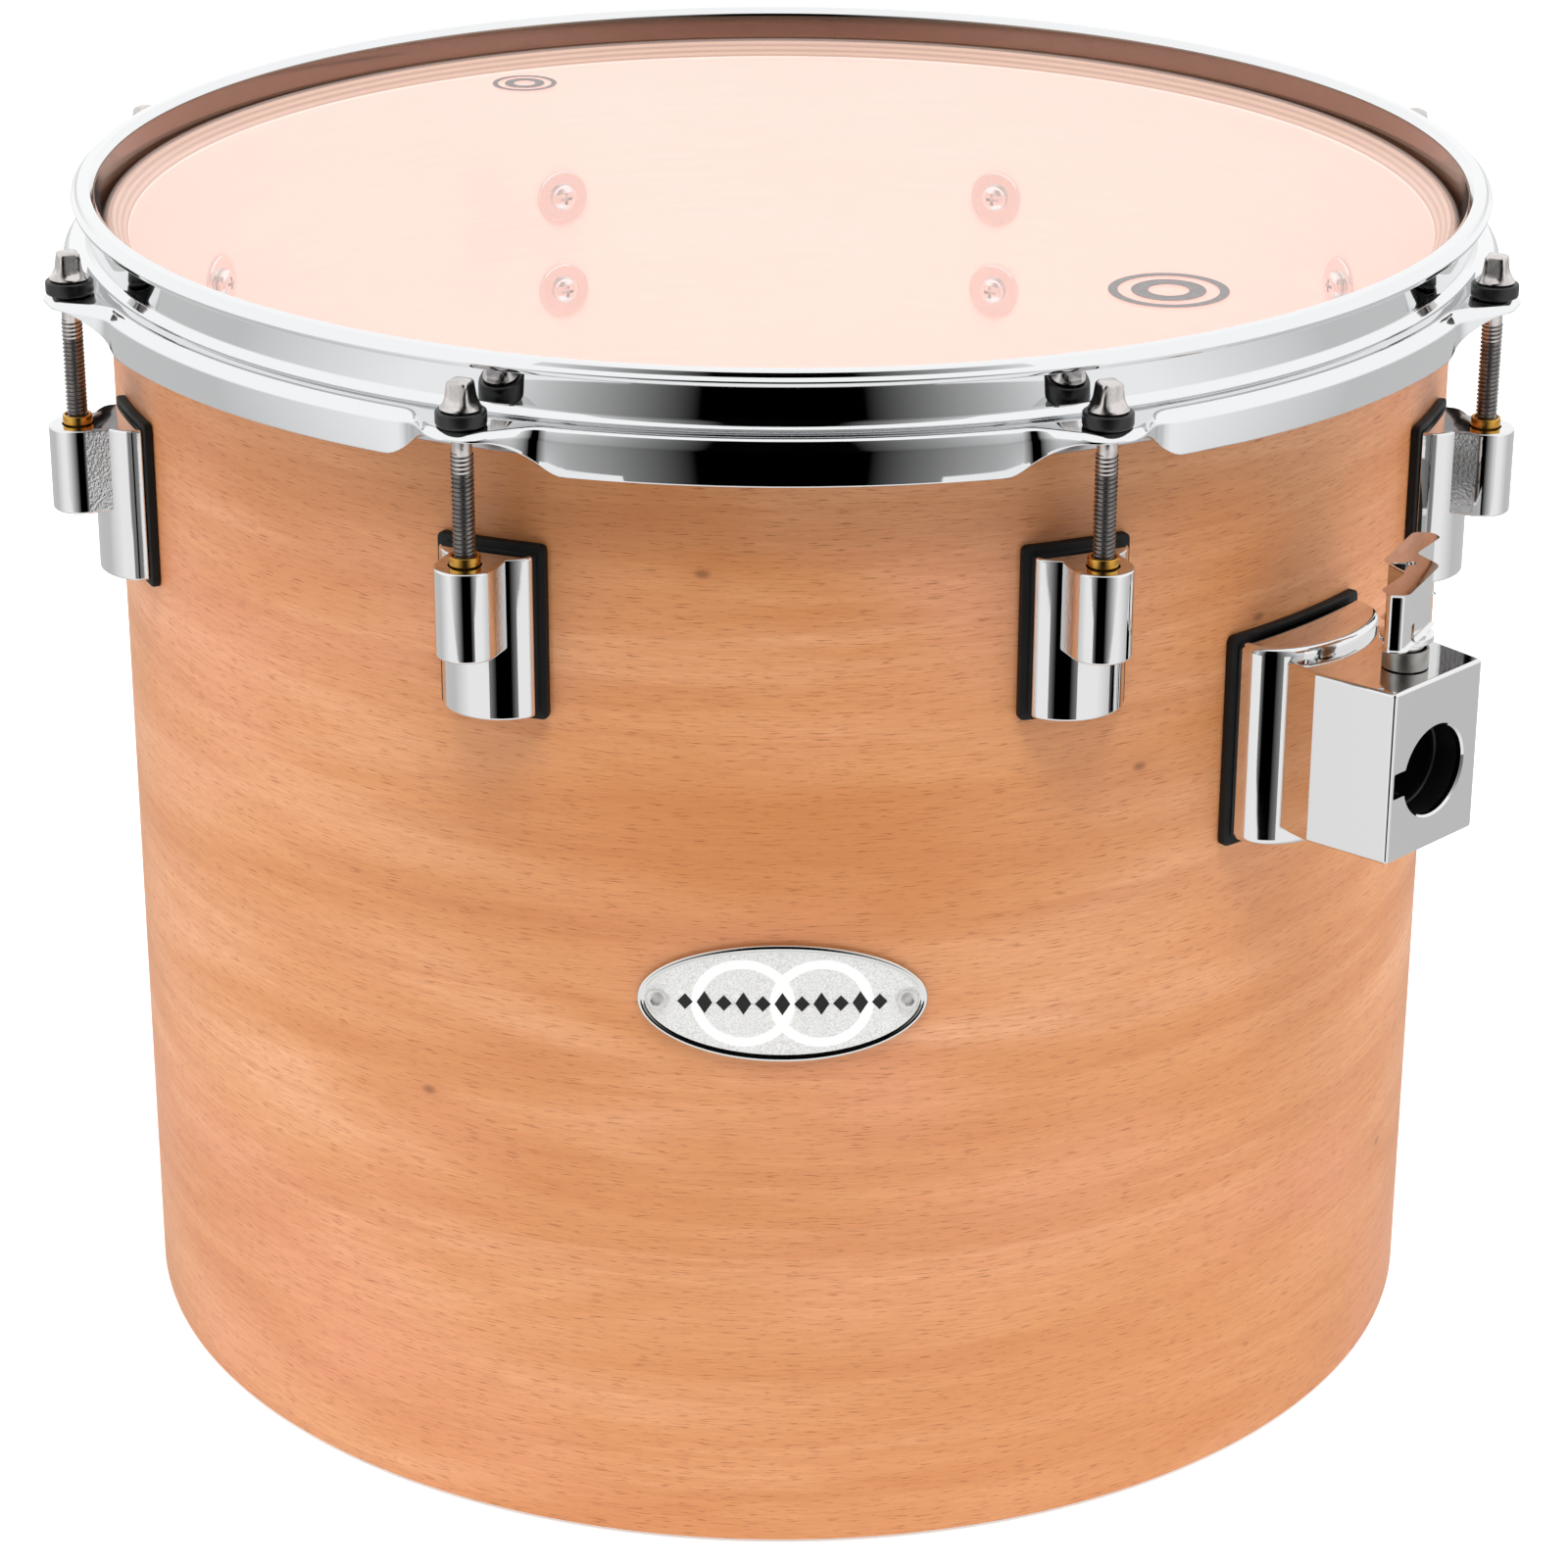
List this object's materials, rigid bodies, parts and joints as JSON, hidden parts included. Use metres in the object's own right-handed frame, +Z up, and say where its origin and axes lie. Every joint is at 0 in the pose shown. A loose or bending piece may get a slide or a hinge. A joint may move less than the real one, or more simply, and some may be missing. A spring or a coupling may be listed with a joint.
{
  "type": "concert tom drum",
  "caption": "Single-headed wooden tom drum with a clear head, chromed pressed hoop, overhanging lugs, tension rods, oval badge and a tube mounting bracket with a wing bolt.",
  "frame": {"origin": "on the axis of the shell at its open lower rim", "axes": "+Z up the axis towards the head, -Y towards the badge"},
  "size_m": [0.3784, 0.3784, 0.3136],
  "materials": {
    "wood_satin": "satin clear lacquer over straight-grained ply",
    "hoop_chrome": "polished chrome on pressed steel",
    "cast_chrome": "polished chrome on die casting",
    "rod_steel": "nickel-plated steel thread",
    "collar_steel": "satin turned steel",
    "brass": "turned brass",
    "rubber": "matt black",
    "nylon": "black nylon",
    "film": "clear glossy film",
    "flesh_alloy": "plain satin",
    "badge_plate": "frosted, with a polished rim",
    "screw_chrome": "plated",
    "shoe_alloy": "plain satin"
  },
  "bodies": {
    "drum": {"shell": "wood_satin", "drumhead_film": "film", "flesh_hoop": "flesh_alloy", "lug_1": "cast_chrome", "lug_pad_1": "rubber", "lug_insert_1": "brass", "lug_2": "cast_chrome", "lug_pad_2": "rubber", "lug_insert_2": "brass", "lug_3": "cast_chrome", "lug_pad_3": "rubber", "lug_insert_3": "brass", "lug_4": "cast_chrome", "lug_pad_4": "rubber", "lug_insert_4": "brass", "lug_5": "cast_chrome", "lug_pad_5": "rubber", "lug_insert_5": "brass", "lug_6": "cast_chrome", "lug_pad_6": "rubber", "lug_insert_6": "brass", "lug_7": "cast_chrome", "lug_pad_7": "rubber", "lug_insert_7": "brass", "lug_8": "cast_chrome", "lug_pad_8": "rubber", "lug_insert_8": "brass", "bracket_pad": "rubber", "bracket_body": "cast_chrome", "receiver_liner": "nylon", "clamp_collar": "collar_steel", "badge": "badge_plate", "badge_screw_1": "screw_chrome", "badge_screw_2": "screw_chrome", "bracket_screw_1": "screw_chrome", "bracket_screw_2": "screw_chrome", "bracket_screw_3": "screw_chrome", "bracket_screw_4": "screw_chrome"},
    "hoop": {"tension_hoop": "hoop_chrome", "rod_washer_1": "nylon", "rod_washer_2": "nylon", "rod_washer_3": "nylon", "rod_washer_4": "nylon", "rod_washer_5": "nylon", "rod_washer_6": "nylon", "rod_washer_7": "nylon", "rod_washer_8": "nylon"},
    "clamp": {"clamp_shoe": "shoe_alloy"},
    "wing": {"wing_bolt": "cast_chrome"},
    "rod_1": {"tension_rod_1": "rod_steel"},
    "rod_2": {"tension_rod_2": "rod_steel"},
    "rod_3": {"tension_rod_3": "rod_steel"},
    "rod_4": {"tension_rod_4": "rod_steel"},
    "rod_5": {"tension_rod_5": "rod_steel"},
    "rod_6": {"tension_rod_6": "rod_steel"},
    "rod_7": {"tension_rod_7": "rod_steel"},
    "rod_8": {"tension_rod_8": "rod_steel"}
  },
  "joints": [
    {"name": "hoop_travel", "type": "slide", "parent": "drum", "child": "hoop", "axis": [0, 0, 1], "range_m": [0, 0.012]},
    {"name": "rod_turn_1", "type": "hinge", "parent": "hoop", "child": "rod_1", "pos_m": [0.0739, -0.1784, 0.28], "axis": [0, 0, 1], "range_deg": [0, 4090]},
    {"name": "rod_turn_2", "type": "hinge", "parent": "hoop", "child": "rod_2", "pos_m": [0.1784, -0.0739, 0.28], "axis": [0, 0, 1], "range_deg": [0, 4090]},
    {"name": "rod_turn_3", "type": "hinge", "parent": "hoop", "child": "rod_3", "pos_m": [0.1784, 0.0739, 0.28], "axis": [0, 0, 1], "range_deg": [0, 4090]},
    {"name": "rod_turn_4", "type": "hinge", "parent": "hoop", "child": "rod_4", "pos_m": [0.0739, 0.1784, 0.28], "axis": [0, 0, 1], "range_deg": [0, 4090]},
    {"name": "rod_turn_5", "type": "hinge", "parent": "hoop", "child": "rod_5", "pos_m": [-0.0739, 0.1784, 0.28], "axis": [0, 0, 1], "range_deg": [0, 4090]},
    {"name": "rod_turn_6", "type": "hinge", "parent": "hoop", "child": "rod_6", "pos_m": [-0.1784, 0.0739, 0.28], "axis": [0, 0, 1], "range_deg": [0, 4090]},
    {"name": "rod_turn_7", "type": "hinge", "parent": "hoop", "child": "rod_7", "pos_m": [-0.1784, -0.0739, 0.28], "axis": [0, 0, 1], "range_deg": [0, 4090]},
    {"name": "rod_turn_8", "type": "hinge", "parent": "hoop", "child": "rod_8", "pos_m": [-0.0739, -0.1784, 0.28], "axis": [0, 0, 1], "range_deg": [0, 4090]},
    {"name": "clamp_travel", "type": "slide", "parent": "drum", "child": "clamp", "axis": [0, 0, 1], "range_m": [-0.0017, 0]},
    {"name": "wing_turn", "type": "hinge", "parent": "clamp", "child": "wing", "pos_m": [0.14977, -0.14977, 0.245], "axis": [0, 0, 1], "range_deg": [-490, 0]}
  ],
  "couplings": [
    {"joint": "rod_turn_1", "follows": "hoop_travel", "rad_per_m": 5937.1},
    {"joint": "rod_turn_2", "follows": "hoop_travel", "rad_per_m": 5937.1},
    {"joint": "rod_turn_3", "follows": "hoop_travel", "rad_per_m": 5937.1},
    {"joint": "rod_turn_4", "follows": "hoop_travel", "rad_per_m": 5937.1},
    {"joint": "rod_turn_5", "follows": "hoop_travel", "rad_per_m": 5937.1},
    {"joint": "rod_turn_6", "follows": "hoop_travel", "rad_per_m": 5937.1},
    {"joint": "rod_turn_7", "follows": "hoop_travel", "rad_per_m": 5937.1},
    {"joint": "rod_turn_8", "follows": "hoop_travel", "rad_per_m": 5937.1},
    {"joint": "wing_turn", "follows": "clamp_travel", "rad_per_m": 5026.5}
  ]
}
